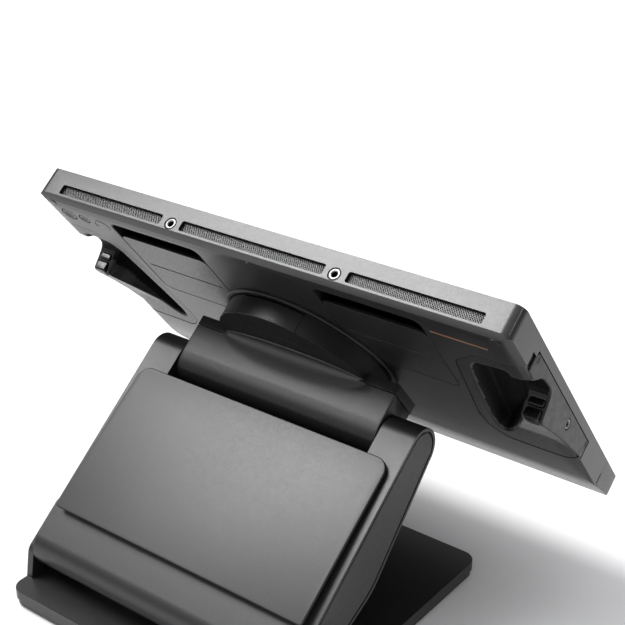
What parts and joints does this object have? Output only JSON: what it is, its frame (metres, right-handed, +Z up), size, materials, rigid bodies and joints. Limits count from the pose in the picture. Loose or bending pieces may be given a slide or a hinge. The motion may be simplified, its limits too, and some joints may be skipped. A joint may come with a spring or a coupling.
{
  "type": "pen drawing tablet",
  "caption": "Pen drawing display on a desk stand: thick slab with side grips, vents, port covers and a rotating rear hub on a wide hinged arm and flat base.",
  "frame": {"origin": "centre of the base's underside, on the desk", "axes": "+Z up; the user sits at -Y facing the screen and the arm leans back towards +Y; +X is to the user's right"},
  "size_m": [0.497, 0.3764, 0.3461],
  "materials": {
    "housing_metal": "fine-grain satin",
    "lower_metal": "fine-grain satin",
    "stand_metal": "fine-grain satin",
    "cover_metal": "fine-grain satin",
    "hub_metal": "fine-grain satin",
    "screen_glass": "etched",
    "black_plastic": "matte",
    "grip_plastic": "fine texture",
    "key_plastic": "satin",
    "dark_rubber": "matte",
    "copper_inlay": "satin",
    "steel": "machined",
    "bright_aluminium": "machined",
    "board_green": "solder mask",
    "panel_grey": "satin",
    "bronze": "machined"
  },
  "bodies": {
    "base": {"base_housing": "stand_metal", "base_plate": "steel", "base_feet": "dark_rubber", "lift_brackets": "steel", "base_screws": "steel", "lift_shaft": "steel", "lift_springs": "steel"},
    "arm": {"arm_shell": "stand_metal", "arm_cap_left": "black_plastic", "arm_cap_right": "black_plastic", "arm_spine": "steel", "tilt_shaft": "steel", "tilt_springs": "steel", "lift_bushes": "bronze", "lift_friction_discs": "steel"},
    "cable_cover": {"arm_cable_cover": "cover_metal"},
    "neck": {"hub_drum": "hub_metal", "hub_bearing": "bronze", "neck_plate": "stand_metal", "neck_shell": "stand_metal", "neck_screws": "steel", "tilt_bushes": "bronze", "tilt_friction_discs": "steel"},
    "latch": {"hub_latch": "hub_metal"},
    "display": {"rear_housing": "housing_metal", "bottom_cover": "lower_metal", "display_feet": "dark_rubber", "front_glass": "screen_glass", "middle_frame": "black_plastic", "lcd_panel": "panel_grey", "pen_sensor_board": "board_green", "chassis_plate": "bright_aluminium", "main_board": "board_green", "board_fasteners": "steel", "heat_sink": "bright_aluminium", "fan_cases": "black_plastic", "vent_grilles": "black_plastic", "accessory_bushes": "steel", "screw_plugs": "dark_rubber", "accent_inlay": "copper_inlay", "switch_board": "board_green", "port_bays": "black_plastic", "port_sockets": "steel", "grip_right": "grip_plastic", "grip_left": "grip_plastic", "side_screws": "steel", "hub_mount_plate": "steel", "hub_mount_screws": "steel", "hub_trim_ring": "housing_metal", "hub_retainer": "steel"},
    "fan_right": {"fan_rotor_right": "black_plastic"},
    "fan_left": {"fan_rotor_left": "black_plastic"},
    "power_key": {"power_button": "housing_metal"},
    "touch_key": {"touch_button": "housing_metal"},
    "key_right_upper": {"express_key_right_upper": "key_plastic"},
    "key_right_lower": {"express_key_right_lower": "key_plastic"},
    "key_left_upper": {"express_key_left_upper": "key_plastic"},
    "key_left_lower": {"express_key_left_lower": "key_plastic"},
    "cover_right": {"port_cover_right": "housing_metal"},
    "cover_left": {"port_cover_left": "housing_metal"}
  },
  "joints": [
    {"name": "arm_lift", "type": "hinge", "parent": "base", "child": "arm", "pos_m": [0, 0.10087, 0.0447], "axis": [-1, 0, 0], "range_deg": [-11, 8]},
    {"name": "neck_tilt", "type": "hinge", "parent": "arm", "child": "neck", "pos_m": [0, -0.05751, 0.17295], "axis": [1, 0, 0], "range_deg": [-42, 25]},
    {"name": "display_swivel", "type": "hinge", "parent": "neck", "child": "display", "pos_m": [0, -0.08622, 0.20456], "axis": [0, 0.7771, -0.6293], "range_deg": [-20, 20]},
    {"name": "fan_right_spin", "type": "hinge", "parent": "display", "child": "fan_right", "pos_m": [0.034, -0.03768, 0.30423], "axis": [0, -0.7771, 0.6293], "continuous": true},
    {"name": "fan_left_spin", "type": "hinge", "parent": "display", "child": "fan_left", "pos_m": [-0.034, -0.03768, 0.30423], "axis": [0, -0.7771, 0.6293], "continuous": true},
    {"name": "power_press", "type": "slide", "parent": "display", "child": "power_key", "axis": [0, -0.7771, 0.6293], "range_m": [0, 0.0007]},
    {"name": "touch_press", "type": "slide", "parent": "display", "child": "touch_key", "axis": [0, -0.7771, 0.6293], "range_m": [0, 0.0007]},
    {"name": "key_right_upper_press", "type": "slide", "parent": "display", "child": "key_right_upper", "axis": [0, -0.6293, -0.7771], "range_m": [0, 0.0009]},
    {"name": "key_right_lower_press", "type": "slide", "parent": "display", "child": "key_right_lower", "axis": [0, -0.6293, -0.7771], "range_m": [0, 0.0009]},
    {"name": "key_left_upper_press", "type": "slide", "parent": "display", "child": "key_left_upper", "axis": [0, -0.6293, -0.7771], "range_m": [0, 0.0009]},
    {"name": "key_left_lower_press", "type": "slide", "parent": "display", "child": "key_left_lower", "axis": [0, -0.6293, -0.7771], "range_m": [0, 0.0009]},
    {"name": "latch_press", "type": "slide", "parent": "neck", "child": "latch", "axis": [0, -0.7771, 0.6293], "range_m": [0, 0.0015]},
    {"name": "port_cover_right_slide", "type": "slide", "parent": "display", "child": "cover_right", "axis": [0, 0.6293, 0.7771], "range_m": [0, 0.018]},
    {"name": "port_cover_left_slide", "type": "slide", "parent": "display", "child": "cover_left", "axis": [0, 0.6293, 0.7771], "range_m": [0, 0.018]},
    {"name": "cable_cover_lift", "type": "slide", "parent": "arm", "child": "cable_cover", "axis": [0, 0.6293, 0.7771], "range_m": [0, 0.03]}
  ]
}
